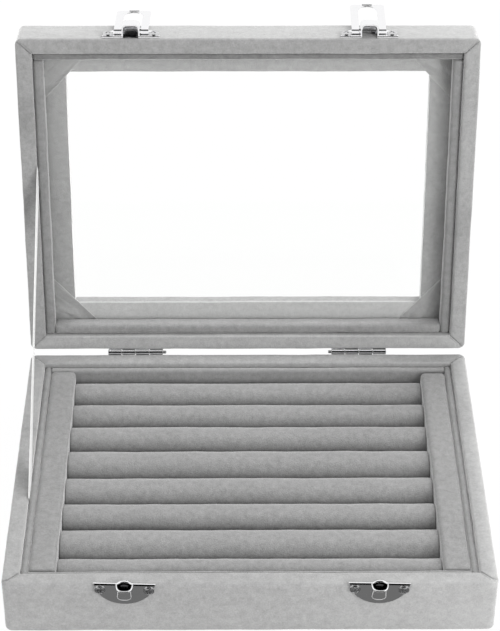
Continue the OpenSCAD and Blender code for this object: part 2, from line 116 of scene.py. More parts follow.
# Quads of a grid whose rows or columns may run round into a loop
def gridFaces(rows, cols, loopRows, loopCols, first=0):
    r, c = np.meshgrid(np.arange(rows - (not loopRows)), np.arange(cols - (not loopCols)), indexing="ij")
    r2, c2 = (r + 1) % rows, (c + 1) % cols
    quads = xyz(r * cols + c, r2 * cols + c, r2 * cols + c2, r * cols + c2)
    return (quads.reshape(-1, 4) + first).tolist()


# A tube of closed rows with a flat face on each end
def tubeFaces(rows, cols):
    low = list(range(cols))
    high = list(range((rows - 1) * cols, rows * cols))
    return gridFaces(rows, cols, False, True) + [low, high[::-1]]


# Unit normals of a grid from the cross product of its two directions, pointing out of the solid
def gridNormals(p, loopRows, loopCols):
    def along(axis, loop):
        if loop:
            return np.roll(p, -1, axis) - np.roll(p, 1, axis)
        return np.gradient(p, axis=axis)
    n = np.cross(along(0, loopRows), along(1, loopCols))
    if (p * n).sum() < 0:
        n = -n
    return n / np.maximum(np.linalg.norm(n, axis=-1), 1e-9)[..., None]


def newObject(name, data):
    made = bpy.data.objects.new(name, data)
    bpy.context.scene.collection.objects.link(made)
    return made


# Puts a mesh into the scene as a piece: faces outwards, smooth up to the sharp angle. Its finish is a
# material and a slot; the slot is not used. It stands for the CAD node with its name in underscores, or for
# the one given
def addPiece(name, points, faces, finish, body, sharp, marks=None, stands=()):
    mesh = bpy.data.meshes.new(name)
    mesh.from_pydata((np.asarray(points, float).reshape(-1, 3) * metre).tolist(), [], faces)
    shell = bmesh.new()
    shell.from_mesh(mesh)
    bmesh.ops.recalc_face_normals(shell, faces=shell.faces[:])
    shell.to_mesh(mesh)
    shell.free()
    mesh.polygons.foreach_set("use_smooth", np.ones(len(mesh.polygons), bool))
    mesh.set_sharp_from_angle(angle=math.radians(sharp))
    for key, values in (marks or {}).items():
        layer = mesh.attributes.new(key, "FLOAT", "POINT")
        layer.data.foreach_set("value", np.asarray(values, np.float32).ravel())
    material, slot = finish
    mesh.materials.append(material)
    mesh.update()
    piece = newObject(name, mesh)
    if body:
        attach(piece, body)
    stands = stands or (re.sub("([A-Z0-9])", r"_\1", name).lower(),)
    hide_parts(*stands)
    return piece


# Joins several meshes, each a pair of points and faces, into one
def joinParts(parts):
    points, faces, first = [], [], 0
    for p, f in parts:
        p = np.asarray(p, float).reshape(-1, 3)
        points.append(p)
        faces += [[i + first for i in face] for face in f]
        first += len(p)
    return np.concatenate(points), faces


def newMaterial(name):
    mat = bpy.data.materials.new(name)
    mat.use_nodes = True
    nodes = mat.node_tree.nodes
    return mat, nodes, mat.node_tree.links, nodes["Principled BSDF"]


# A node group; the number of values in a default tells a colour, a vector and a number apart
def newGroup(name, inputs, outputs):
    group = bpy.data.node_groups.new(name, "ShaderNodeTree")
    kinds = {1: "NodeSocketFloat", 3: "NodeSocketVector", 4: "NodeSocketColor"}
    for key, value in inputs.items():
        socket = group.interface.new_socket(key, in_out="INPUT", socket_type=kinds[np.size(value)])
        socket.default_value = value
    for key in outputs:
        kind = kinds[4 if key == "Colour" else 1]
        group.interface.new_socket(key, in_out="OUTPUT", socket_type=kind)
    return group, group.nodes.new("NodeGroupInput"), group.nodes.new("NodeGroupOutput")


def giveOut(group, give, **values):
    for key, value in values.items():
        group.links.new(value, give.inputs[key])
    return group


def setInputs(node, values):
    for key, value in values.items():
        node.inputs[key].default_value = value


# Gives a socket its value, or links it
def feed(tree, socket, value):
    if isinstance(value, (int, float, tuple)):
        socket.default_value = value
    else:
        tree.links.new(value, socket)


def addMath(tree, operation, a, b):
    node = tree.nodes.new("ShaderNodeMath")
    node.operation = operation
    feed(tree, node.inputs[0], a)
    feed(tree, node.inputs[1], b)
    return node.outputs[0]


def addNoise(tree, vector, scale, detail, roughness):
    node = tree.nodes.new("ShaderNodeTexNoise")
    setInputs(node, {"Detail": detail, "Roughness": roughness})
    tree.links.new(vector, node.inputs["Vector"])
    feed(tree, node.inputs["Scale"], scale)
    return node.outputs["Fac"]


def addMark(tree, name):
    mark = tree.nodes.new("ShaderNodeAttribute")
    mark.attribute_name = name
    return mark.outputs["Fac"]


def addStretch(tree, scale):
    node = tree.nodes.new("ShaderNodeMapping")
    tree.links.new(tree.nodes.new("ShaderNodeTexCoord").outputs["Object"], node.inputs["Vector"])
    feed(tree, node.inputs["Scale"], scale)
    return node.outputs[0]


def scaleColour(tree, colour, factor):
    node = tree.nodes.new("ShaderNodeVectorMath")
    node.operation = "SCALE"
    tree.links.new(colour, node.inputs[0])
    tree.links.new(factor, node.inputs["Scale"])
    return node.outputs[0]


# Noises are scale (or none, where a socket gives it), detail and roughness
pile = dict(
    broad=(28, 3, 0.55), mottle=(420, 2, 0.6), tufts=(2, 0.7), mottleHeight=0.6,
    # The marks paint light and shade: darker spots (on the left rims the ribbon's painted shadow), painted
    # shade in creases and crevices, a painted highlight along edges where the pile also opens, and painted
    # light and shade over whole areas
    marks={"darkSpots": -0.16, "creaseShade": -0.42, "edge": 0.14, "paintedLight": 1.0},
)


# Velvet pile: broad brushed patches, a mottle, single tufts, and the marks stored on the mesh, which add
# painted light and shade to the colour
def makePileGroup():
    group, take, give = newGroup("velvetPile", {
        "Colour": (0.4, 0.4, 0.4, 1), "Brushed": 0.1, "Mottle": 0.1, "Tufts": 0.2, "Tuft Scale": 2200.0},
        ("Colour", "Height"))
    place = group.nodes.new("ShaderNodeTexCoord").outputs["Object"]
    broad = addNoise(group, place, *pile["broad"])
    mottle = addNoise(group, place, *pile["mottle"])
    tufts = addNoise(group, place, take.outputs["Tuft Scale"], *pile["tufts"])
    total = 1.0
    for value, amount in ((broad, "Brushed"), (mottle, "Mottle"), (tufts, "Tufts")):
        swing = addMath(group, "MULTIPLY", addMath(group, "SUBTRACT", value, 0.5), take.outputs[amount])
        total = addMath(group, "ADD", swing, total)
    for key, depth in pile["marks"].items():
        total = addMath(group, "ADD", addMath(group, "MULTIPLY", addMark(group, key), depth), total)
    height = addMath(group, "ADD", addMath(group, "MULTIPLY", mottle, pile["mottleHeight"]), tufts)
    return giveOut(group, give, Colour=scaleColour(group, take.outputs["Colour"], total), Height=height)


plating = dict(haze=(260, 3, 0.6), rub=(500, 3, 0.7), stretch=(1, 9, 9), insideShade=0.93)


# Fine rubbing and haze on plated metal, and painted shade inside a pressed nose: a colour and a roughness
def makeRubGroup():
    group, take, give = newGroup("platingRub", {
        "Colour": (0.7, 0.7, 0.7, 1), "Roughness": 0.15, "Haze": 0.15, "Rub": 0.1},
        ("Colour", "Roughness", "Height"))
    place = group.nodes.new("ShaderNodeTexCoord").outputs["Object"]
    haze = addNoise(group, place, *plating["haze"])
    rub = addNoise(group, addStretch(group, plating["stretch"]), *plating["rub"])
    swing = addMath(group, "MULTIPLY", addMath(group, "SUBTRACT", rub, 0.5), take.outputs["Rub"])
    paintedShade = addMath(group, "MULTIPLY", addMark(group, "inside"), plating["insideShade"])
    tone = addMath(group, "SUBTRACT", addMath(group, "ADD", swing, 1.0), paintedShade)
    rough = addMath(group, "ADD", addMath(group, "MULTIPLY", haze, take.outputs["Haze"]),
                    take.outputs["Roughness"])
    colour = scaleColour(group, take.outputs["Colour"], tone)
    return giveOut(group, give, Colour=colour, Roughness=rough, Height=rub)


# Streaks of board, paper fibre or woven thread, longer along one axis
def makeStreakGroup():
    group, take, give = newGroup("streaks", {
        "Dark": (0.3, 0.2, 0.1, 1), "Light": (0.5, 0.4, 0.3, 1), "Stretch": (1.0, 1.0, 1.0), "Scale": 100.0},
        ("Colour", "Height"))
    place = addStretch(group, take.outputs["Stretch"])
    value = addNoise(group, place, take.outputs["Scale"], detail=4, roughness=0.6)
    mix = group.nodes.new("ShaderNodeMix")
    mix.data_type = "RGBA"
    group.links.new(value, mix.inputs["Factor"])
    group.links.new(take.outputs["Dark"], mix.inputs[6])
    group.links.new(take.outputs["Light"], mix.inputs[7])
    return giveOut(group, give, Colour=mix.outputs[2], Height=value)


pileGroup, rubGroup, streakGroup = makePileGroup(), makeRubGroup(), makeStreakGroup()


# A material from a shared group: its colour, its roughness where it has one, and a bump from its height
def makeFinish(name, group, values, inputs, strength, distance):
    mat, nodes, links, shader = newMaterial(name)
    made = nodes.new("ShaderNodeGroup")
    made.node_tree = group
    setInputs(made, values)
    setInputs(shader, inputs)
    for source, key in (("Colour", "Base Color"), ("Roughness", "Roughness")):
        if source in made.outputs:
            links.new(made.outputs[source], shader.inputs[key])
    bump = nodes.new("ShaderNodeBump")
    setInputs(bump, {"Strength": strength, "Distance": distance})
    links.new(made.outputs["Height"], bump.inputs["Height"])
    links.new(bump.outputs["Normal"], shader.inputs["Normal"])
    return mat


# A grey just warm of neutral
def grey(value, blue=0.995):
    return (value, value, value * blue, 1)


looks = dict(
    velvet={"Roughness": 0.95, "Specular IOR Level": 0.15, "Sheen Roughness": 0.35,
               "Sheen Tint": (1, 1, 1, 1)},
    pile={"Brushed": 0.2, "Mottle": 0.5, "Tuft Scale": 1900.0}, pileDeep=0.00018,
    metalBlue=1.01, metalBump=(0.05, 0.00005), streakBump=(0.15, 0.0001),
    glass={"Base Color": (0.99, 0.995, 0.99, 1), "Roughness": 0, "IOR": 1.2, "Transmission Weight": 1},
)


def makeVelvet(name, tone, sheen, tufts, bump):
    return makeFinish(name, pileGroup, {**looks["pile"], "Colour": grey(tone), "Tufts": tufts},
                      {**looks["velvet"], "Sheen Weight": sheen}, bump, looks["pileDeep"])


def makeMetal(name, tone, roughness, haze, rub):
    return makeFinish(name, rubGroup, {"Colour": grey(tone, looks["metalBlue"]), "Roughness": roughness,
                                       "Haze": haze, "Rub": rub}, {"Metallic": 1}, *looks["metalBump"])


def makeStreaked(name, dark, light, stretch, scale, roughness, sheen=0.0):
    return makeFinish(name, streakGroup, {"Dark": (*dark, 1), "Light": (*light, 1), "Stretch": stretch,
                                          "Scale": scale},
                      {"Roughness": roughness, "Sheen Weight": sheen}, *looks["streakBump"])


# 1 for rays of the given kinds, 0 for others
def raysOf(tree, *kinds):
    path = tree.nodes.new("ShaderNodeLightPath")
    found = 0.0
    for kind in kinds:
        found = addMath(tree, "MAXIMUM", path.outputs["Is %s Ray" % kind], found)
    return found


# Mixes two shaders by a factor into the output
def mixSurface(tree, output, factor, first, second):
    mix = tree.nodes.new("ShaderNodeMixShader")
    for socket, source in zip(mix.inputs, (factor, first, second)):
        tree.links.new(source, socket)
    tree.links.new(mix.outputs[0], tree.nodes[output].inputs["Surface"])


# Clear glass that lets lamps through to what lies behind it
def makeGlass(name):
    mat, nodes, links, shader = newMaterial(name)
    setInputs(shader, looks["glass"])
    clear = nodes.new("ShaderNodeBsdfTransparent")
    mixSurface(mat.node_tree, "Material Output", raysOf(mat.node_tree, "Shadow", "Diffuse"),
               shader.outputs[0], clear.outputs[0])
    return mat


velvet = makeVelvet("velvetCover", tone=0.25, sheen=1.0, tufts=0.6, bump=0.7), "velvet"
lining = makeVelvet("velvetLining", tone=0.20, sheen=1.0, tufts=0.6, bump=0.7), "velvet_lining"
insertVelvet = makeVelvet("velvetInsert", tone=0.21, sheen=0.75, tufts=0.7, bump=0.9), "velvet_insert"
nickel = makeMetal("nickelPlate", tone=0.93, roughness=0.06, haze=0.1, rub=0.1), "nickel"
screwSteel = makeMetal("screwPlate", tone=0.66, roughness=0.14, haze=0.16, rub=0.2), "screw_steel"
pinSteel = makeMetal("pinSteel", tone=0.5, roughness=0.22, haze=0.2, rub=0.2), "pin_steel"
greyBoard = makeStreaked("greyBoard", dark=(0.12, 0.118, 0.11), light=(0.2, 0.195, 0.185),
                         stretch=(1, 1, 1), scale=900, roughness=0.85)
bottomPaper = makeStreaked("bottomPaper", dark=(0.20, 0.20, 0.205), light=(0.27, 0.27, 0.275),
                           stretch=(1, 2.5, 1), scale=700, roughness=0.8)
satin = makeStreaked("ribbonSatin", dark=(0.62, 0.62, 0.62), light=(0.80, 0.80, 0.79),
                     stretch=(1, 0.3, 3), scale=900, roughness=0.42, sheen=0.3), "ribbon"
clearGlass = makeGlass("clearGlass"), "glass"
print("materials made")


# Seam, crease and puff run across the mitred seam of a rim: a groove, a crease beside it, a rise on one side.
# Groove and crease get painted shade
cover = dict(
    cornerSteps=14, edgeSteps=8, leastCorner=0.4, longest=2.4, cornersTake=8, sharp=60,
    nearCorner=(0.3, 0.6, 0.9, 1.2, 1.6, 2.0, 2.5, 3.0, 3.6, 4.3, 5.2, 6.3, 7.6),
    middleFrom=9, middleStep=2,
    wave=0.10, waveSize=34, ripple=0.042, rippleSize=9,
    seamDepth=0.3, seamWidth=0.32, basePleat=2.3, lidPleat=1.4,
    creaseDepth=0.16, creaseAt=-1.1, creaseWidth=0.3, creaseMark=0.4,
    puff=0.12, puffTurn=0.5, puffWidth=2.2,
    flatFrom=0.35, flatOver=0.4, rimReach=2.2, highlightWidth=1.6, edgeHighlight=0.5, steep=0.85,
    # Darker spots on the rims; on the left they are the ribbon's painted shadow
    baseDarkSpots=((-99, -4, 25, 11), (-98, 22, 26, 9), (99, 30, 25, 12)), baseSeed=11,
    lidDarkSpots=((-97, 6, 27, 11), (-98, -40, 28, 9), (97, 10, 28, 12)), lidSeed=23,
)


# Points of an arc in a wall's section: inset from the box's side, height
def arc(u, z, r, a0, a1):
    a = np.radians(np.linspace(a0, a1, cover["edgeSteps"] + 1))
    return xyz(u + r * np.cos(a), z + r * np.sin(a))


# Rows of inset and height, as rows of both insets, height and a mark that is 1 where the velvet shows
def even(rows, shows):
    rows = np.atleast_2d(rows)
    return xyz(rows[:, 0], rows[:, 0], rows[:, 1], float(shows))


# Puts points on the long sides of a closed section, none further apart than the longest step
def fillSection(section):
    ahead = np.roll(section, -1, 0)
    counts = np.ceil(np.linalg.norm((ahead - section)[:, :3], axis=1) / cover["longest"]).astype(int)
    counts = np.maximum(counts, 1)
    index = np.repeat(np.arange(len(section)), counts)
    step = np.arange(counts.sum()) - np.repeat(np.cumsum(counts) - counts, counts)
    t = (step / counts[index])[:, None]
    filled = section[index] * (1 - t) + ahead[index] * t
    filled[:, 3] = np.minimum(section[index, 3], np.where(t[:, 0] > 0, ahead[index, 3], section[index, 3]))
    return filled


# Fractions of a straight side, close together near its two corners
def sideFractions(length):
    near = np.array(cover["nearCorner"])
    start = cover["middleFrom"]
    middle = np.linspace(start, length - start, int(length / cover["middleStep"]))
    return np.concatenate([near, middle, (length - near)[::-1]]) / length


# A rounded rectangle at each row's insets and height: four arcs joined by straight runs
def outline(section):
    ix, iy, z = (section[:, k][:, None] for k in range(3))
    r = np.maximum(box["corner"] - np.minimum(ix, iy), cover["leastCorner"])
    arcs = []
    for c, (sx, sy) in enumerate(quarters):
        a = quarterTurn(cover["cornerSteps"]) + c * math.pi / 2
        x = sx * (halfW - ix - r) + r * np.cos(a)
        y = sy * (halfD - iy - r) + r * np.sin(a)
        arcs.append(xyz(x, y, z))
    sides = []
    for c, length in enumerate((box["width"], box["depth"]) * 2):
        t = sideFractions(length - cover["cornersTake"])[None, :, None]
        sides += [arcs[c], arcs[c][:, -1:] * (1 - t) + arcs[(c + 1) % 4][:, :1] * t]
    return np.concatenate(sides, 1)


# Distance from the mitred seam of a rim: the diagonal, bent near the corner into a pleat
def seamDistance(p, pleat):
    a, b = halfW - np.abs(p[..., 0]), halfD - np.abs(p[..., 1])
    a = np.maximum(a, 0)
    return b - (a ** 4 + pleat ** 4) ** 0.25


# A closed section carried round the box, with soft waves along its normals and the corner seams. Its marks
# paint shade into the groove and crease, a highlight near the rim, darker spots and areas of light and shade
def makeCover(name, section, pleat, rimZ, place, darkSpotList, paintedLight, body, seed):
    section = fillSection(section)
    p = outline(section)
    n = gridNormals(p, True, True)
    shows = section[:, 3][:, None]
    seam = seamDistance(p, pleat)
    flat = np.clip((np.abs(n[..., 2]) - cover["flatFrom"]) / cover["flatOver"], 0, 1)
    flat = flat * (np.abs(p[..., 2] - rimZ) < cover["rimReach"]) * shows
    groove = bell(seam, 0, cover["seamWidth"]) * flat
    crease = bell(seam, cover["creaseAt"], cover["creaseWidth"]) * flat
    puff = np.tanh(seam / cover["puffTurn"]) * bell(seam, 0, cover["puffWidth"]) * flat
    amount = shows * (cover["wave"] * softNoise(p, cover["waveSize"], seed)
                      + cover["ripple"] * softNoise(p, cover["rippleSize"], seed + 1))
    amount = amount - cover["seamDepth"] * groove - cover["creaseDepth"] * crease + cover["puff"] * puff
    # A painted highlight near the rim on steep faces, where the pile also opens
    edge = bell(p[..., 2], rimZ, cover["highlightWidth"]) * shows * (np.abs(n[..., 2]) < cover["steep"])
    # Darker spots; those on the left are the ribbon's painted shadow
    darkSpots = 0 * seam
    for x, y, z, size in darkSpotList:
        darkSpots = darkSpots + np.exp(-((p - (x, y, z)) ** 2).sum(-1) / size ** 2)
    marks = {"creaseShade": groove + cover["creaseMark"] * crease, "darkSpots": darkSpots,
             "edge": edge * cover["edgeHighlight"], "paintedLight": paintedLight(p)}
    p = p + n * amount[..., None]
    addPiece(name, place(p), gridFaces(*p.shape[:2], True, True), velvet, body, cover["sharp"], marks,
             (body + "_velvet_cover",))


basePaintedLight = dict(
    all=0.08, front=4, lowFrom=20, lowOver=15, low=0.14, rightFrom=10, rightOver=80,
    right=0.17, rim=0.3, rimAcross=3, rimUp=4,
)


# Painted light on the base: a little lighter all over, more on the front wall, low down and to the right, and
# on the right rim
def baseLightPaint(p):
    paint = basePaintedLight
    low = np.clip((paint["lowFrom"] - p[..., 2]) / paint["lowOver"], 0, 1)
    right = np.clip((p[..., 0] - paint["rightFrom"]) / paint["rightOver"], 0, 1)
    front = bell(p[..., 1], -halfD, paint["front"]) * (paint["low"] * low + paint["right"] * right)
    rim = bell(p[..., 0], halfW, paint["rimAcross"]) * bell(p[..., 2], baseTop, paint["rimUp"])
    return paint["all"] + front + paint["rim"] * rim


# The visible skin of the base: outer edge, then both edges of the rim; d is how deep in the velvet
def baseSkin(d):
    return np.concatenate([
        arc(box["edge"], box["bottom"] + box["edge"], box["edge"] - d, 270, 180),
        arc(box["rim"], baseTop - box["rim"], box["rim"] - d, 180, 90),
        arc(box["wall"] - box["innerRim"], baseTop - box["innerRim"], box["innerRim"] - d, 90, 0)])


# The same for the lid, drawn closed: both edges of the rim, then the outer edge
def lidSkin(d):
    return np.concatenate([
        arc(box["wall"] - box["innerRim"], lidRim + box["innerRim"], box["innerRim"] - d, 0, -90),
        arc(box["rim"], lidRim + box["rim"], box["rim"] - d, -90, -180),
        arc(box["edge"], box["height"] - box["edge"], box["edge"] - d, 180, 90)])


turnIn = dict(under=12, underThick=0.7, inside=10)
thin = box["velvet"]
baseSection = np.concatenate([
    even([[turnIn["under"], box["bottom"]]], 0), even(baseSkin(0), 1),
    even([[box["wall"], turnIn["inside"]]], 1), even([[boardIn, turnIn["inside"]]], 0),
    even(baseSkin(thin)[::-1], 0), even([[turnIn["under"], box["bottom"] + turnIn["underThick"]]], 0)])
makeCover("baseVelvet", baseSection, cover["basePleat"], baseTop, closedPlace, cover["baseDarkSpots"], baseLightPaint,
          "base", cover["baseSeed"])

window = dict(side=20.3, end=18.7, round=2, low=39.6, turnIn=9.5, glassLow=37.3, gap=0.2)


# The window's edge: insets differ at the sides and the ends
def windowRows(r, a0, a1, shows):
    rows = arc(-window["round"], box["height"] - window["round"], r, a0, a1)
    return xyz(window["side"] + rows[:, 0], window["end"] + rows[:, 0], rows[:, 1], float(shows))


lidPaintedLight = dict(
    under=0.29, underUp=0.8, toEnds=0.15, toEndsOver=2, hingeEnd=0.16,
    hingeRim=0.3, hingeRimY=71, hingeRimAcross=4, hingeRimUp=1.5,
    rightRim=0.12, rightRimX=97, rightRimAcross=4, rightRimUp=2,
)


# Painted light on the lid: the window frame, most at its hinge end, then its rims
def lidLightPaint(p):
    paint = lidPaintedLight
    under = bell(p[..., 2], window["low"], paint["underUp"])
    toEnds = np.tanh(((halfW - np.abs(p[..., 0])) - (halfD - np.abs(p[..., 1]))) / paint["toEndsOver"])
    hingeEnd = np.clip(toEnds, 0, 1) * np.sign(p[..., 1])
    hingeRim = bell(p[..., 1], paint["hingeRimY"], paint["hingeRimAcross"]) * (toEnds > 0)
    rightRim = bell(p[..., 0], paint["rightRimX"], paint["rightRimAcross"])
    return (under * (paint["under"] + paint["toEnds"] * toEnds + paint["hingeEnd"] * hingeEnd)
            + paint["hingeRim"] * hingeRim * bell(p[..., 2], lidRim, paint["hingeRimUp"])
            + paint["rightRim"] * rightRim * bell(p[..., 2], lidRim, paint["rightRimUp"]))


lidSection = np.concatenate([
    even([[box["wall"], window["glassLow"] - window["gap"]]], 1), even(lidSkin(0), 1),
    windowRows(window["round"], 90, 0, 1), [[window["side"], window["end"], window["low"], 1]],
    even([[window["turnIn"], window["low"]], [window["turnIn"], window["low"] + thin]], 0),
    [[window["side"] - thin, window["end"] - thin, window["low"] + thin, 0]],
    windowRows(window["round"] - thin, 0, 90, 0),
    even(lidSkin(thin)[::-1], 0), even([[boardIn, window["glassLow"] - window["gap"]]], 0)])
makeCover("lidVelvet", lidSection, cover["lidPleat"], lidRim, openLid, cover["lidDarkSpots"], lidLightPaint,
          "lid", cover["lidSeed"])
print("covers made")


# Liners, rails and rolls; the rolls' widths are uneven as in the photo
pads = dict(
    endSteps=6, alongStep=2.0, touch=0.15, fill=0.9, sharp=50,
    wave=0.12, waveSize=26, ripple=0.35, rippleSize=7, endFade=4,
    # Painted light: a highlight along each strip's top, shade in the crevices between rolls, and lighter or
    # darker liners and rails
    highlightWidth=1.2, edgeHighlight=0.5, creaseShade=1.5, deepest=1.1,
    linerT=2.8, linerTop=25.7, linerEnd=0.6, linerStep=0.45, linerLightPaint=0.07,
    sideSeed=31, endSeed=41,
    railW=11, railBack={"Right": 63.05, "Left": 64.6}, railFront=-64.9, railEdge=1.9,
    railEnd=0.9, railStep=0.8, railWave=0.16, railLightPaint=-0.04, railSeed=51,
    rollTop=22.3, rollHalf=78.95, rollEnd=0.9, rollStep=0.7, rollWave=0.14,
    rollWidths=(15.9, 15.2, 15.9, 17.9, 17.1, 15.1, 18.6, 14.1), rollSeed=60,
    lidLinerT=4.2, lidLinerLow=30.2, lidLowR=1.7, lidHighR=1, lidGroove=1.3,
    lidStep=0.4, lidSideEnd=0.9, lidEnd=1.2, frontThinner=0.8, lidSideSeed=91,
    lidSeed=97, lidLightPaint={"Back": 0.1, "Front": -0.22},
)
linerMid = box["liner"] + pads["linerT"] / 2
sideLinerX, endLinerY = (half - box["liner"] - pads["linerT"] for half in (wellW, wellD))
sides, ends = (("Right", 1), ("Left", -1)), (("Back", 1), ("Front", -1))


# A closed outline resampled to even steps
def evenSteps(loop, step):
    loop = np.asarray(loop, float)
    around = np.concatenate([loop, loop[:1]])
    s = np.concatenate([[0], np.cumsum(np.linalg.norm(np.diff(around, axis=0), axis=1))])
    t = np.linspace(0, s[-1], max(int(round(s[-1] / step)), 8) + 1)[:-1]
    return xyz(*(np.interp(t, s, around[:, k]) for k in range(2)))


# Unit normals of a closed outline in its plane, pointing inwards
def inwardNormals(loop):
    d = np.roll(loop, -1, 0) - np.roll(loop, 1, 0)
    n = xyz(-d[:, 1], d[:, 0])
    area = (loop[:, 0] * np.roll(loop[:, 1], -1) - loop[:, 1] * np.roll(loop[:, 0], -1)).sum()
    return n / np.linalg.norm(n, axis=1)[:, None] * (1 if area > 0 else -1)


# A section carried along a straight line of the given length, its ends rounded by drawing the section in
def padStrip(section, length, endRound):
    n = inwardNormals(section)
    a = quarterTurn(pads["endSteps"])
    half = length / 2 - endRound
    middle = np.linspace(-half, half, max(int(length / pads["alongStep"]), 2) + 1)[1:-1]
    along = np.concatenate([-half - endRound * np.cos(a), middle, half + endRound * np.sin(a)])
    inset = np.concatenate([endRound * (1 - np.sin(a)), 0 * middle, endRound * (1 - np.cos(a))])
    rows = section[None] + n[None] * inset[:, None, None]
    return along, rows


# Puts a strip of section (across, up) along X or Y at (x, y), with soft waves that fade at its ends.
# Deep strips get painted shade towards the crevice by the square of the drop below their top, and every strip
# a painted highlight along its top
def addStrip(name, section, length, endRound, axis, x, y, seed, inLid=False, insert=False,
             wave=pads["wave"], paintedLight=0.0, deep=0.0):
    along, rows = padStrip(section, length, endRound)
    l = along[:, None] + 0 * rows[..., 0]
    across, up = rows[..., 0], rows[..., 1]
    if axis == "x":
        p = xyz(x + l, y + across, up)
    else:
        p = xyz(x + across, y + l, up)
    n = gridNormals(p, False, True)
    outward = ((p - (x, y, up.mean())) * n).sum(-1).mean() > 0
    amount = wave * softNoise(p, pads["waveSize"], seed)
    amount = amount + pads["ripple"] * wave * softNoise(p, pads["rippleSize"], seed + 1)
    fade = np.clip((length / 2 - np.abs(l)) / pads["endFade"], 0, 1)
    p = p + (n if outward else -n) * (amount * fade)[..., None]
    drop = np.clip((up.max() - up) / deep, 0, pads["deepest"]) if deep else 0 * up
    marks = {"edge": bell(up, up.max(), pads["highlightWidth"]) * pads["edgeHighlight"],
             "creaseShade": pads["creaseShade"] * drop ** 2, "paintedLight": paintedLight + 0 * up}
    place, body = (openLid, "lid") if inLid else (closedPlace, "base")
    piece = addPiece(name, place(p), tubeFaces(*p.shape[:2]), insertVelvet if insert else lining, body,
                     pads["sharp"], marks)


# A strip with flat sides and a round top, from the tray up
def roundTopped(w, high, points, step):
    r = w / 2
    a = np.linspace(0, math.pi, points)
    top = xyz(r * np.cos(a), high - r + r * np.sin(a))
    return evenSteps(np.concatenate([[[-r, trayZ], [r, trayZ]], top]), step)


linerLoop = roundTopped(pads["linerT"], pads["linerTop"], 13, pads["linerStep"])
for label, sign in sides:
    addStrip("baseLiner" + label, linerLoop, 2 * (wellD - box["liner"]), pads["linerEnd"], "y",
             sign * (wellW - linerMid), 0, pads["sideSeed"] + sign)
# The back liner is painted lighter
for label, sign in ends:
    addStrip("baseLiner" + label, linerLoop, 2 * (sideLinerX - pads["touch"]), pads["linerEnd"], "x", 0,
             sign * (wellD - linerMid), pads["endSeed"] + sign, paintedLight=pads["linerLightPaint"] * (1 + sign))


# Flat sides and both top edges rounded
def railSection(w, low, high, r):
    a = quarterTurn(8)
    right = xyz(w / 2 - r + r * np.cos(a), high - r + r * np.sin(a))
    left = xyz(-w / 2 + r - r * np.sin(a), high - r + r * np.cos(a))
    return evenSteps(np.concatenate([[[-w / 2, low], [w / 2, low]], right, left]), pads["railStep"])


railMid = sideLinerX - pads["touch"] - pads["railW"] / 2
railLoop = railSection(pads["railW"], trayZ, pads["linerTop"], pads["railEdge"])
# The rails are painted a little darker
for label, sign in sides:
    back, front = pads["railBack"][label], pads["railFront"]
    addStrip("insertRail" + label, railLoop, back - front, pads["railEnd"], "y", sign * railMid,
             (back + front) / 2, pads["railSeed"] + sign, insert=True, wave=pads["railWave"],
             paintedLight=pads["railLightPaint"])

rollWidths = np.array(pads["rollWidths"])
rollY = endLinerY - pads["touch"] - rollWidths[0] / 2 - np.concatenate(
    [[0], np.cumsum((rollWidths[:-1] + rollWidths[1:]) / 2)])
for k, (w, y) in enumerate(zip(rollWidths, rollY), 1):
    loop = roundTopped(w - pads["touch"], pads["rollTop"], 41, pads["rollStep"])
    addStrip("ringRoll%d" % k, loop, 2 * pads["rollHalf"], pads["rollEnd"], "x", 0, y,
             pads["rollSeed"] + 3 * k, insert=True, wave=pads["rollWave"], deep=w / 2)


# Flat back towards the wall, its lower corner drawn in for a groove there, both edges of its face rounded
def lidLinerSection():
    t, low, high = pads["lidLinerT"], pads["lidLinerLow"], window["glassLow"]
    r, r2, r3 = pads["lidLowR"], pads["lidHighR"], pads["lidGroove"]
    a = quarterTurn(8)
    groove = xyz(r3 * (np.cos(a) - 1), low + r3 - r3 * np.sin(a))
    lower = xyz(r - t - r * np.sin(a), low + r - r * np.cos(a))
    upper = xyz(r2 - t - r2 * np.cos(a), high - r2 + r2 * np.sin(a))
    return evenSteps(np.concatenate([[[0, high]], groove, lower, upper]), pads["lidStep"])


lidLoop = lidLinerSection()
longSide, longEnd = wellD - box["liner"], wellW - box["liner"]
stripEnd = pads["lidLinerT"] + pads["touch"]
sideStart = stripEnd * pads["frontThinner"]
for label, sign in sides:
    addStrip("lidLiner" + label, lidLoop * (sign, 1), 2 * longSide - sideStart, pads["lidSideEnd"], "y",
             sign * longEnd, sideStart / 2, pads["lidSideSeed"] + sign, inLid=True)
# The back liner is painted lighter, the front one darker for the shade under the lid's front wall
for label, sign in ends:
    half, across = (longEnd - stripEnd, 1) if sign > 0 else (longEnd, -pads["frontThinner"])
    addStrip("lidLiner" + label, lidLoop * (across, 1), 2 * half, pads["lidEnd"], "x", 0, sign * longSide,
             pads["lidSeed"] + sign, inLid=True, paintedLight=pads["lidLightPaint"][label])
print("pads made")


capInset = 1.4


# A flat sheet from an outline: its edge rounded on both faces, the faces closed by one polygon each
def plateFromOutline(loop, thick, edge, steps=3, backEdge=None):
    loop = np.asarray(loop, float)
    n = inwardNormals(loop)
    a = quarterTurn(steps)
    back = edge if backEdge is None else backEdge
    inset = np.concatenate([[back * capInset], back * (1 - np.sin(a)), edge * (1 - np.cos(a)),
                            [edge * capInset]])
    height = np.concatenate([[0], back * (1 - np.cos(a)), thick - edge * (1 - np.sin(a)), [thick]])
    rows = loop[None] + n[None] * inset[:, None, None]
    p = xyz(rows[..., 0], rows[..., 1], height[:, None])
    return p, tubeFaces(*p.shape[:2])


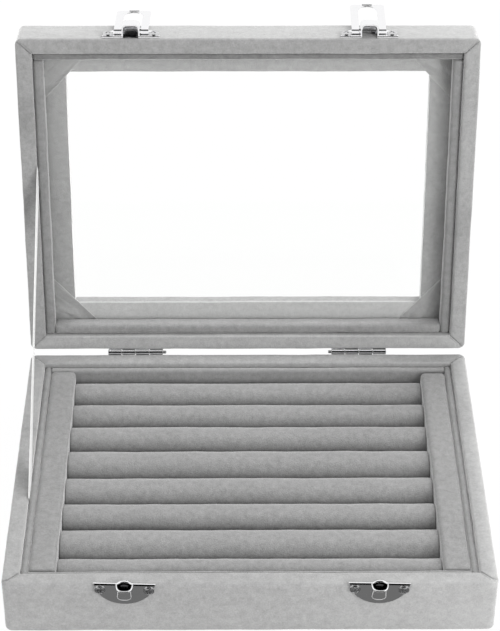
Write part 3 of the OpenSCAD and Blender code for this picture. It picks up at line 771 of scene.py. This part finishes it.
# A rectangle about the middle with rounded corners
def roundRect(w, h, r, steps=6):
    turn = quarterTurn(steps)
    return np.concatenate([
        xyz(sx * (w / 2 - r) + r * np.cos(turn + c * math.pi / 2),
            sy * (h / 2 - r) + r * np.sin(turn + c * math.pi / 2))
        for c, (sx, sy) in enumerate(quarters)])


pane = dict(thick=2, play=0.3, chamfer=0.25, corner=0.8, sharp=30)
# A plate a little smaller than the frame of boards, its edges chamfered
paneIn = boardIn + pane["play"]
loop = roundRect(2 * (halfW - paneIn), 2 * (halfD - paneIn), pane["corner"])
p, faces = plateFromOutline(loop, pane["thick"], pane["chamfer"])
p[..., 2] += window["glassLow"]
addPiece("windowGlass", openLid(p), faces, clearGlass, "lid", pane["sharp"])

patch = dict(
    thick=0.3, edge=0.1, legX=20.5, legY=22, x=90, y=65, step=0.5, inset=0.048,
    fray=0.06, fraySize=3, seed=120, cutHighlight=5.0, lightPaintBack=0.8, lightPaintFront=0.75, sharp=20,
)
# Four triangles in the corners, their edges frayed by noise; the cut edge gets a painted highlight, and the
# patches are painted lighter
parts, cuts = [], []
for k, (sx, sy) in enumerate(quarters):
    x, y = patch["x"], patch["y"]
    corners = np.array([[x, y], [x - patch["legX"], y], [x, y - patch["legY"]]]) * (sx, sy)
    loop = evenSteps(corners, patch["step"])
    fray = softNoise(xyz(loop[:, 0], loop[:, 1], 0), patch["fraySize"], patch["seed"] + k)
    fray = patch["inset"] + patch["fray"] * fray
    p, faces = plateFromOutline(loop + inwardNormals(loop) * fray[:, None], patch["thick"], patch["edge"], 2)
    p[..., 2] += window["glassLow"] + pane["thick"]
    parts.append((p, faces))
    cut = np.full(p.shape[:2], patch["cutHighlight"])
    cut[[0, -1]] = 0
    cuts.append(cut.ravel())
p, faces = joinParts(parts)
paintedLight = np.where(p[:, 1] > 0, patch["lightPaintBack"], patch["lightPaintFront"])
addPiece("cornerPatches", openLid(p), faces, lining, "lid", patch["sharp"],
         {"paintedLight": paintedLight, "edge": np.concatenate(cuts)}, ("window_corner_patches",))
print("window made")


latch = dict(
    xs={"Left": -50.3, "Right": 52}, plateW=25, plateH=11.2, step=0.3, sharp=35,
    catchTop=28.5, latchLow=29.05, screwX=9.8, catchDrop=3.1, latchDrop=2.9,
    tabR=4, tabRise=1.4, plateEdge=0.12, plateSteps=4,
    pivotUp=7.1, pivotOut=1.9, pivotR=0.7,
)
bridge = dict(
    width=7.8, out=5.9, wall=0.6, low=1.4, high=8.7, edge=1.1, base=0.05, boxy=0.36,
    notch=0.8, firstRows=(0, 0.02), rowsFrom=0.3,
)
catch = dict(
    tilt={"Left": 2.0, "Right": 1.5}, lift=0.22, thicker=1.1, edge=0.5, steps=6, back=0.12,
    out=5.4, toe=1.9, rimW=7.1, neckW=6.7, low=8.6, wall=0.6, rolled=0.42,
    points=33, bow=1.25, flareAt=0.9, flareOver=0.12, flareOut=0.5, least=0.004,
    root=0.8, base=0.7, outBow=0.9, boxy=0.7,
)
tab = dict(inset=0.25, rise=1.15, low=0.45, foot=0.3, footIn=0.9, count=48)


# Local right, up and out on the front wall, from a point of it
def onFront(p, x, z):
    p = np.asarray(p, float)
    return xyz(x + p[..., 0], -halfD - p[..., 2], z + p[..., 1])


# The same on the back wall, seen from behind
def onBack(p, x, z):
    p = np.asarray(p, float)
    return xyz(x - p[..., 0], halfD + p[..., 2], z + p[..., 1])


# Straight edge along the top, a circular arc below; above the middle stands a round tab, or a notch goes in
def halfMoon(withTab):
    w, h = latch["plateW"] / 2, latch["plateH"]
    r = (w * w + h * h) / (2 * h)
    reach = math.atan2(w, h - r) if h > r else math.asin(w / r)
    a = np.linspace(-math.pi / 2 - reach, -math.pi / 2 + reach, 61)
    low = xyz(r * np.cos(a), r - h + r * np.sin(a))
    if withTab:
        tabR, middle = latch["tabR"], latch["tabRise"] - latch["tabR"]
        half = math.acos(-middle / tabR)
        b = np.linspace(math.pi / 2 - half, math.pi / 2 + half, 19)
        top = xyz(tabR * np.cos(b), middle + tabR * np.sin(b))
    else:
        x = bridge["width"] / 2 - bridge["wall"]
        y = box["meet"] + bridge["high"] - latch["latchLow"] - bridge["notch"]
        top = np.array([[x, 0], [x, -y], [-x, -y], [-x, 0]])
    return evenSteps(np.concatenate([low, top]), latch["step"])


# A closed D: half an ellipse raised to a power, closed along its base
def dLoop(half, out, base, power):
    a = np.linspace(0, math.pi, catch["points"])
    return xyz(half * np.sign(np.cos(a)) * np.abs(np.cos(a)) ** power,
               base + (out - base) * np.sin(a) ** power)


# Lays each loop at its own height
def stackLoops(loops, y):
    loops = np.stack(loops)
    return xyz(loops[..., 0], y[:, None], loops[..., 1])


# A cup from rows of closed loops outside and inside, open at the first row
def cup(outer, inner):
    rows, cols = outer.shape[:2]
    points = np.concatenate([outer.reshape(-1, 3), inner.reshape(-1, 3)])
    second = rows * cols
    faces = gridFaces(rows, cols, False, True) + [list(range((rows - 1) * cols, rows * cols))]
    ins = gridFaces(inner.shape[0], cols, False, True, second)
    last = second + (inner.shape[0] - 1) * cols
    faces += [f[::-1] for f in ins] + [list(range(last, last + cols))[::-1]]
    k = np.arange(cols)
    k2 = (k + 1) % cols
    faces += xyz(k2, k2 + second, k + second, k)[:, ::-1].tolist()
    return points, faces


# The catch's scoop: a rolled rim open at the top, a step under it, a pouch sloping in to a round toe
def scoopShape():
    reach = catch["low"] - (box["meet"] - latch["catchTop"])
    rimHalf, half, root = catch["rimW"] / 2, catch["neckW"] / 2, sheetT * catch["root"]

    def rows(g, rolled):
        t = np.linspace(0, 1, catch["points"])
        y = -(reach - g) * t ** catch["bow"]
        draw = 0 * t
        if rolled:
            a = quarterTurn(6)[:-1]
            y = np.concatenate([rolled * (np.cos(a) - 1), y - rolled * (1 - t)])
            draw = np.concatenate([rolled * (1 - np.sin(a)), draw])
        flare = 1 / (1 + np.exp((-y - catch["flareAt"]) / catch["flareOver"]))
        fall = np.clip((-y - (reach - half)) / (half - g), 0, 1)
        taper = np.sqrt(np.maximum(1 - fall ** 2, catch["least"]))
        wide = (half + (rimHalf - half) * flare - g - draw) * taper
        lean = np.clip(-y / (reach - g), 0, 1)
        out = (catch["out"] - catch["flareOut"]) * (1 - lean) + catch["toe"] * lean
        out = out + catch["flareOut"] * flare - g - draw
        out = root + (out - root) * taper ** catch["outBow"]
        return stackLoops([dLoop(w, o, sheetT * catch["base"], catch["boxy"]) for w, o in zip(wide, out)], y)
    return cup(rows(0, catch["rolled"]), rows(catch["wall"], 0))


# The bridge that carries the pivot: a boxy arch, open towards the rim
def bridgeShape():
    half, r = bridge["width"] / 2, bridge["edge"]

    def rows(g, top):
        a = quarterTurn(4)[1:]
        straight = np.concatenate([bridge["low"] + np.array(bridge["firstRows"]),
                                   np.linspace(bridge["low"] + bridge["rowsFrom"], top - r, 6)])
        y = np.concatenate([straight, top - r + r * np.sin(a)])
        draw = np.concatenate([0 * straight, r * (1 - np.cos(a))])
        return stackLoops([dLoop(half - g - d, bridge["out"] - g - d, bridge["base"], bridge["boxy"])
                           for d in draw], y)
    return cup(rows(0, bridge["high"]), rows(bridge["wall"], bridge["high"] - bridge["wall"]))


# A profile of radius and height turned about Z, closed at both ends by small polygons
def turned(profile, count):
    profile = np.asarray(profile, float)
    a = np.arange(count) * 2 * math.pi / count
    p = xyz(profile[:, :1] * np.cos(a), profile[:, :1] * np.sin(a), profile[:, 1:])
    return p, tubeFaces(*p.shape[:2])


# Sizes are the head's radius and height, the shank's radius and its length
screw = dict(
    latchSize=(2.3, 1.2, 0.9, 5), hingeSize=(1.6, 0.7, 0.9, 5), count=72, sharp=30,
    flat=0.9, steps=24, dome=0.62, domeBow=2.2, edgeFall=(0.92, 0.7, 0), tip=0.8,
    armWide=0.13, armLong=0.62, armSide=0.12, armEnd=0.25, sink=0.62, sinkMost=1.25,
    sinkFade=0.7, catchSeed=5, latchSeed=6, hingeSeed=8,
)


# A domed screw with a cross pressed into it; its shank goes down into the wall
def screwShape(r, h, shank, length, turnBy):
    flat, fall = screw["flat"], screw["edgeFall"]
    radius = np.concatenate([np.linspace(0.02, flat, screw["steps"]) * r,
                             r * (flat + (1 - flat) * np.sin(quarterTurn(len(fall))[1:]))])
    top = h * (1 - screw["dome"] * (radius / r) ** screw["domeBow"])
    top[-len(fall):] = top[-len(fall) - 1] * np.array(fall)
    profile = np.concatenate([
        xyz(radius, top),
        [[shank, 0], [shank, -length * screw["tip"]], [0.05, -length]]])
    p, faces = turned(profile, screw["count"])
    q = p[:len(radius)]
    u, v = turnFlat(q, turnBy)[..., :2].transpose(2, 0, 1)
    wide, longest = r * screw["armWide"], r * screw["armLong"]

    def arm(s, t):
        return (np.clip((wide - np.abs(s)) / screw["armSide"] + 0.5, 0, 1)
                * np.clip((longest - np.abs(t)) / screw["armEnd"] + 0.5, 0, 1))
    deep = np.clip(screw["sinkMost"] - np.hypot(u, v) / longest * screw["sinkFade"], 0, 1)
    q[..., 2] -= np.maximum(arm(u, v), arm(v, u)) * h * screw["sink"] * deep
    return p, faces


# Screws at spots, each a wall and a place on it, turned by chance
def screwGroup(name, spots, size, place, body, seed):
    rng = np.random.default_rng(seed)
    parts = []
    for put, x, z in spots:
        p, faces = screwShape(*size, rng.uniform(0, math.pi / 2))
        parts.append((place(put(p + (0, 0, sheetT), x, z)), faces))
    points, faces = joinParts(parts)
    addPiece(name, points, faces, screwSteel, body, screw["sharp"])


# Turns local points clockwise by the catch's small tilt
def tilted(p, label):
    return turnFlat(np.asarray(p, float), math.radians(catch["tilt"][label]))


# The tab behind the nose is dished forward: a shallow cap, height falling with the square of the radius
def tabCap():
    r = latch["tabR"] - tab["inset"]
    run = np.linspace(0.01, 1, 12)
    dish = xyz(r * run, tab["low"] + tab["rise"] * (1 - run ** 2))
    p, faces = turned(np.concatenate([dish, [[r * tab["footIn"], tab["foot"]], [0.05, tab["foot"]]]]),
                      tab["count"])
    return p + (0, latch["tabRise"] - latch["tabR"], 0), faces


# Half moon, tab and scoop; the inside of the scoop is marked for painted shade
def catchPlate(label):
    plate, plateFaces = plateFromOutline(halfMoon(True), sheetT, catch["edge"], catch["steps"], catch["back"])
    plate[..., 2] = catch["lift"] + plate[..., 2] * catch["thicker"]
    points, faces = joinParts([(plate, plateFaces), tabCap(), scoopShape()])
    inside = np.arange(len(points)) >= len(points) - catch["points"] ** 2
    points = onFront(tilted(points, label), latch["xs"][label], latch["catchTop"])
    addPiece("catchPlate" + label, points, faces, nickel, "base", latch["sharp"], {"inside": inside})


# The half moon upside down, with the bridge over its notch
def latchPlate(label):
    plate, plateFaces = plateFromOutline(halfMoon(False) * (1, -1), sheetT, latch["plateEdge"],
                                         latch["plateSteps"])
    plate = plate + (0, latch["latchLow"] - box["meet"], 0)
    points, faces = joinParts([(plate, plateFaces), bridgeShape()])
    points = openLid(onFront(points, latch["xs"][label], box["meet"]))
    addPiece("latchPlate" + label, points, faces, nickel, "lid", latch["sharp"])


flap = dict(
    rest={"Left": 6, "Right": 15}, lean={"Left": 2, "Right": 0}, width=14.9, length=18.6,
    arch=8.3, endBar=0.9, corner=1.3, above=0.8, edge=0.2, pivotMore=0.2,
    thumbR=0.6, thumbLen=5, thumbEnd=0.5, least=0.02,
)


# The flap hangs from its pivot: two legs, an arch between them, a curled lip
def flapShape():
    w, length, arch = flap["width"] / 2, flap["length"], flap["arch"] / 2
    archY = -length + flap["endBar"] + arch
    a, r, above, least = quarterTurn(6), flap["corner"], flap["above"], flap["least"]
    right = xyz(w - r + r * np.sin(a[::-1]), -length + r - r * np.cos(a[::-1]))[::-1]
    b = np.linspace(0, -math.pi, 33)
    inside = xyz(arch * np.cos(b), archY + arch * np.sin(b))
    outside = np.concatenate([right, [[w, above], [arch, above]]])
    loop = np.concatenate([outside, inside, [[-arch, above], [-w, above]], (right * (-1, 1))[::-1]])
    leaf, leafFaces = plateFromOutline(evenSteps(loop, latch["step"]), sheetT, flap["edge"])
    parts = [(leaf - (0, 0, sheetT / 2), leafFaces)]
    reach, pivot = arch + flap["pivotMore"], latch["pivotR"]
    p, faces = turned([[least, -reach], [pivot, -reach], [pivot, reach], [least, reach]], 24)
    parts.append((xyz(p[..., 2], p[..., 0], p[..., 1]), faces))
    t, half, end = flap["thumbR"], flap["thumbLen"] / 2, flap["thumbEnd"]
    c = quarterTurn(5)
    profile = np.concatenate([
        xyz(np.maximum(t * np.sin(c), least), -half + end * (1 - np.cos(c))),
        xyz(np.maximum(t * np.cos(c), least), half - end + end * np.sin(c))])
    p, faces = turned(profile, 28)
    parts.append((xyz(p[..., 2], p[..., 0] - length, p[..., 1] + t - sheetT), faces))
    return joinParts(parts)


# The flap sheared by its lean, turned about the pivot to its rest angle, and set on the lid
def latchFlap(label):
    p, faces = flapShape()
    p[:, 0] -= p[:, 1] * math.tan(math.radians(flap["lean"][label]))
    a = math.radians(flap["rest"][label] - 180)
    v, w = p[..., 1], p[..., 2]
    p = xyz(p[..., 0], v * math.cos(a) - w * math.sin(a),
            v * math.sin(a) + w * math.cos(a) + latch["pivotOut"])
    p = openLid(onFront(p, latch["xs"][label], box["meet"] + latch["pivotUp"]))
    addPiece("latchFlap" + label, p, faces, nickel, label.lower() + "_flap", latch["sharp"])


for label in ("Left", "Right"):
    catchPlate(label)
    latchPlate(label)
    latchFlap(label)
spots = []
for label, x in latch["xs"].items():
    for s in (-1, 1):
        at = tilted([s * latch["screwX"], -latch["catchDrop"], 0], label)
        spots.append((onFront, x + at[0], latch["catchTop"] + at[1]))
screwGroup("catchScrews", spots, screw["latchSize"], closedPlace, "base", screw["catchSeed"])
spots = [(onFront, x + s * latch["screwX"], latch["latchLow"] + latch["latchDrop"])
         for x in latch["xs"].values() for s in (-1, 1)]
screwGroup("latchScrews", spots, screw["latchSize"], openLid, "lid", screw["latchSeed"])
print("latches made")


hinge = dict(
    xs={"Left": -51.8, "Right": 51.1}, length=25.5, barrel=1.3, barrelEdge=0.12, pin=0.7,
    bore=0.75, leaf=8.5, leafCorner=0.9, leafStep=0.5, leafEdge=0.2, clear=0.3,
    stripMore=0.6, stripEdge=0.1, knuckles=4, gap=0.3, screwX=8.5, screwZ=5.2, tail=1.4,
    pinTip=((0.03, 0), (0.49, 0.05), (0.7, 0.3)), sharp=35,
)
knuckleStep = hinge["length"] / hinge["knuckles"]


# Lays a shape turned about Z along the pin
def alongPin(p):
    return xyz(p[..., 2], hingeY + p[..., 0], box["meet"] + p[..., 1])


# Tubes along X about the pin, every second knuckle from the first one
def knuckleParts(x, first):
    r, e, bore = hinge["barrel"], hinge["barrelEdge"], hinge["bore"]
    parts = []
    for k in range(first, hinge["knuckles"], 2):
        lo = x - hinge["length"] / 2 + k * knuckleStep + hinge["gap"] / 2
        hi = lo + knuckleStep - hinge["gap"]
        profile = [[bore, lo], [r - e, lo], [r, lo + e], [r, hi - e], [r - e, hi], [bore, hi]]
        p, _ = turned(profile, 36)
        parts.append((alongPin(p), gridFaces(p.shape[0], p.shape[1], True, True)))
    return parts


# A leaf screwed to the back wall, with a strip up to each of its knuckles
def hingeLeaf(label, first, up, place, body):
    x = hinge["xs"][label]
    clear = hinge["barrel"] + hinge["clear"]
    tall = clear + hinge["stripMore"]
    loop = evenSteps(roundRect(hinge["length"], hinge["leaf"], hinge["leafCorner"]), hinge["leafStep"])
    leaf, faces = plateFromOutline(loop, sheetT, hinge["leafEdge"])
    leaf = leaf + (0, up * (clear + hinge["leaf"] / 2), 0)
    parts = [(onBack(leaf, x, box["meet"]), faces)]
    loop = roundRect(knuckleStep - hinge["gap"], tall, hinge["stripEdge"], 2)
    for k in range(first, hinge["knuckles"], 2):
        middle = -hinge["length"] / 2 + (k + 0.5) * knuckleStep
        strip, faces = plateFromOutline(loop, sheetT, hinge["stripEdge"])
        strip = strip + (-middle, up * tall / 2, 0)
        parts.append((onBack(strip, x, box["meet"]), faces))
    points, faces = joinParts(parts + knuckleParts(x, first))
    addPiece(body + "HingeLeaf" + label, place(points), faces, nickel, body, hinge["sharp"])


for label in ("Left", "Right"):
    hingeLeaf(label, 0, -1, closedPlace, "base")
    hingeLeaf(label, 1, 1, openLid, "lid")
    lo = hinge["xs"][label] - hinge["length"] / 2 - (hinge["tail"] if label == "Right" else 0)
    hi = lo + hinge["length"] + hinge["tail"]
    p, faces = turned([(r, lo + h) for r, h in hinge["pinTip"]]
                      + [(r, hi - h) for r, h in hinge["pinTip"][::-1]], 28)
    addPiece("hingePin" + label, alongPin(p), faces, pinSteel, "base", hinge["sharp"])
for up, place, body in ((-1, closedPlace, "base"), (1, openLid, "lid")):
    spots = [(onBack, x + s * hinge["screwX"], box["meet"] + up * hinge["screwZ"])
             for x in hinge["xs"].values() for s in (-1, 1)]
    screwGroup(body + "HingeScrews", spots, screw["hingeSize"], place, body, screw["hingeSeed"] + up)
print("hinges made")


ribbon = dict(
    width=10, thick=0.2, baseY=-16, lidY=-8.5, tuck=6, steps=90, corner=0.09,
    acrossSteps=13, side=0.1, fade=25, curl=0.05, curlSize=60, seed=3, twist=0.3,
    blendIn=12, sharp=50,
)
# A flat section carried straight from the base's liner to the lid's, tucked in at both ends; between
# them it bulges a little and twists by half a sine
start = np.array([ribbon["baseY"], box["meet"]])
lidPoint = openLid(np.array([0.0, ribbon["lidY"], box["meet"]]))[1:]
span = np.linalg.norm(lidPoint - start)
aim = (lidPoint - start) / span
cross = np.array([-aim[1], aim[0]])
s = np.linspace(-ribbon["tuck"], span + ribbon["tuck"], ribbon["steps"])
rim = roundRect(ribbon["width"], ribbon["thick"], ribbon["corner"], 3)
runs = np.linspace(-1, 1, ribbon["acrossSteps"])[1:-1] * (ribbon["width"] / 2 - ribbon["side"])
level = ribbon["thick"] / 2
loop = np.concatenate([rim[:4], xyz(runs[::-1], level), rim[4:12], xyz(runs, -level), rim[12:]])
across, depth = loop[:, 0][None], loop[:, 1][None]
free = np.clip(np.minimum(s, span - s) / ribbon["fade"], 0, 1)[:, None]
bulge = softNoise(xyz(s, 0, 0), ribbon["curlSize"], ribbon["seed"])[:, None]
bulge = ribbon["curl"] * bulge * free
twist = ribbon["twist"] * free * np.sin(s[:, None] / span * math.pi) * (across / ribbon["width"])
x = -wellW + box["liner"] / 2 + depth + bulge + twist
yz = start + s[:, None, None] * aim + across[..., None] * cross
p = xyz(x, yz[..., 0], yz[..., 1])
piece = addPiece("stayRibbon", p, tubeFaces(*p.shape[:2]), satin, None, ribbon["sharp"])
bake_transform(piece)
print("ribbon made")

# The boards, the card and the bottom paper keep their CAD shapes
hidden = (
    (greyBoard, ("base_front_wall", "base_back_wall", "base_left_wall", "base_right_wall",
                 "base_bottom_board", "lid_front_wall", "lid_back_wall", "lid_left_wall",
                 "lid_right_wall", "lid_window_frame")),
    (insertVelvet[0], ("insert_card",)),
    (bottomPaper, ("base_bottom_cover",)),
)
for material, names in hidden:
    for name in names:
        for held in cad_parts[name].material_slots:
            held.material = material


# The stage is in metres
stage = dict(
    floorTone=0.9, floorHalf=6, floorLow=-0.0002, floorGlow=0.985, ambient=1.05,
    cardLow=0.0004,
)
direct = ("Camera", "Transmission", "Glossy")


def addEmission(nodes, colour):
    glow = nodes.new("ShaderNodeEmission")
    glow.inputs["Color"].default_value = colour
    return glow.outputs[0]


def addQuad(name, corners, mat):
    mesh = bpy.data.meshes.new(name)
    mesh.from_pydata(corners, [], [(0, 1, 2, 3)])
    mesh.materials.append(mat)
    return newObject(name, mesh)


# A pale floor that takes light like paper, and looks almost white to the camera and in mirrors
floorMat, nodes, links, shader = newMaterial("paleFloor")
setInputs(shader, {"Base Color": grey(stage["floorTone"], 1), "Roughness": 0.9})
share = addMath(floorMat.node_tree, "MULTIPLY", raysOf(floorMat.node_tree, *direct), stage["floorGlow"])
mixSurface(floorMat.node_tree, "Material Output", share, shader.outputs[0], addEmission(nodes, (1, 1, 1, 1)))
floor = addQuad("paleFloor", [(sx * stage["floorHalf"], sy * stage["floorHalf"], stage["floorLow"])
                              for sx, sy in quarters], floorMat)

world = bpy.data.worlds.new("studio")
bpy.context.scene.world = world
world.use_nodes = True
tree = world.node_tree
ambient = tree.nodes["Background"]
setInputs(ambient, {"Color": (1, 1, 1, 1), "Strength": stage["ambient"]})
backdrop = tree.nodes.new("ShaderNodeBackground")
setInputs(backdrop, {"Color": (1, 1, 1, 1), "Strength": 1})
mixSurface(tree, "World Output", raysOf(tree, *direct), ambient.outputs[0], backdrop.outputs[0])


# Puts a lamp or a camera at a place, given the directions of its right, up and back
def setUp(holder, axes, place):
    rows = [[axis[i] for axis in axes] + [place[i]] for i in range(3)] + [[0, 0, 0, 1]]
    holder.matrix_world = Matrix(rows)


# A soft lamp at a place in metres, aimed at a point; mirrors don't show it
def softLamp(name, place, target, size, power):
    lamp = bpy.data.lights.new(name, "AREA")
    lamp.shape = "RECTANGLE"
    lamp.size, lamp.size_y = size
    lamp.energy = power
    holder = newObject(name, lamp)
    holder.visible_glossy = False
    z = np.array(place, float) - np.array(target, float)
    z /= np.linalg.norm(z)
    x = np.cross((0, 1, 0.001), z)
    x /= np.linalg.norm(x)
    setUp(holder, (x, np.cross(z, x), z), place)


softLamp("overhead", place=(0.3, 0.9, 1.2), target=(0, 0.03, 0.05), size=(1.1, 0.9), power=23)
softLamp("front", place=(0.95, -1.25, 0.75), target=(0, 0, 0.08), size=(1.0, 0.7), power=15)


# A card that only shiny surfaces see, from a far edge to a near one, each with its Y and Z
def darkCard(name, half, far, near, tone):
    mat, nodes, links, shader = newMaterial(name)
    links.new(addEmission(nodes, grey(tone)), nodes["Material Output"].inputs["Surface"])
    card = addQuad(name, [(-half, *far), (half, *far), (half, *near), (-half, *near)], mat)
    card.visible_camera = card.visible_diffuse = card.visible_shadow = card.visible_transmission = False


# The dark of the room, and the shaded floor before the box
darkCard("roomCard", half=0.7, far=(-0.15, 1.3), near=(-1.4, stage["cardLow"]), tone=0.02)
darkCard("floorCard", half=0.3, far=(-0.3, stage["cardLow"]), near=(-0.0745, stage["cardLow"]), tone=0.155)

# The camera of the photo, from the fit: place in millimetres, angles in radians, focus in pixels
view = dict(
    place=(-5.033, -646.927, 590.168), pitch=0.6427, yaw=0.0082, roll=0.0029, focus=1984.24,
    frameHeight=631, sensor=36, clip=(0.02, 50),
)
camera = bpy.data.cameras.new("photoView")
camera.sensor_width = view["sensor"]
camera.lens = view["focus"] / view["frameHeight"] * view["sensor"]
camera.clip_start, camera.clip_end = view["clip"]
eye = newObject("photoView", camera)
forward = np.array([math.sin(view["yaw"]) * math.cos(view["pitch"]),
                    math.cos(view["yaw"]) * math.cos(view["pitch"]), -math.sin(view["pitch"])])
right = np.array([math.cos(view["yaw"]), -math.sin(view["yaw"]), 0])
upward = np.cross(right, forward)
c, s = math.cos(view["roll"]), math.sin(view["roll"])
right, upward = c * right + s * upward, c * upward - s * right
setUp(eye, (right, upward, -forward), [v * metre for v in view["place"]])
bpy.context.scene.camera = eye
bpy.context.scene.view_settings.view_transform = "Standard"
print("stage made")
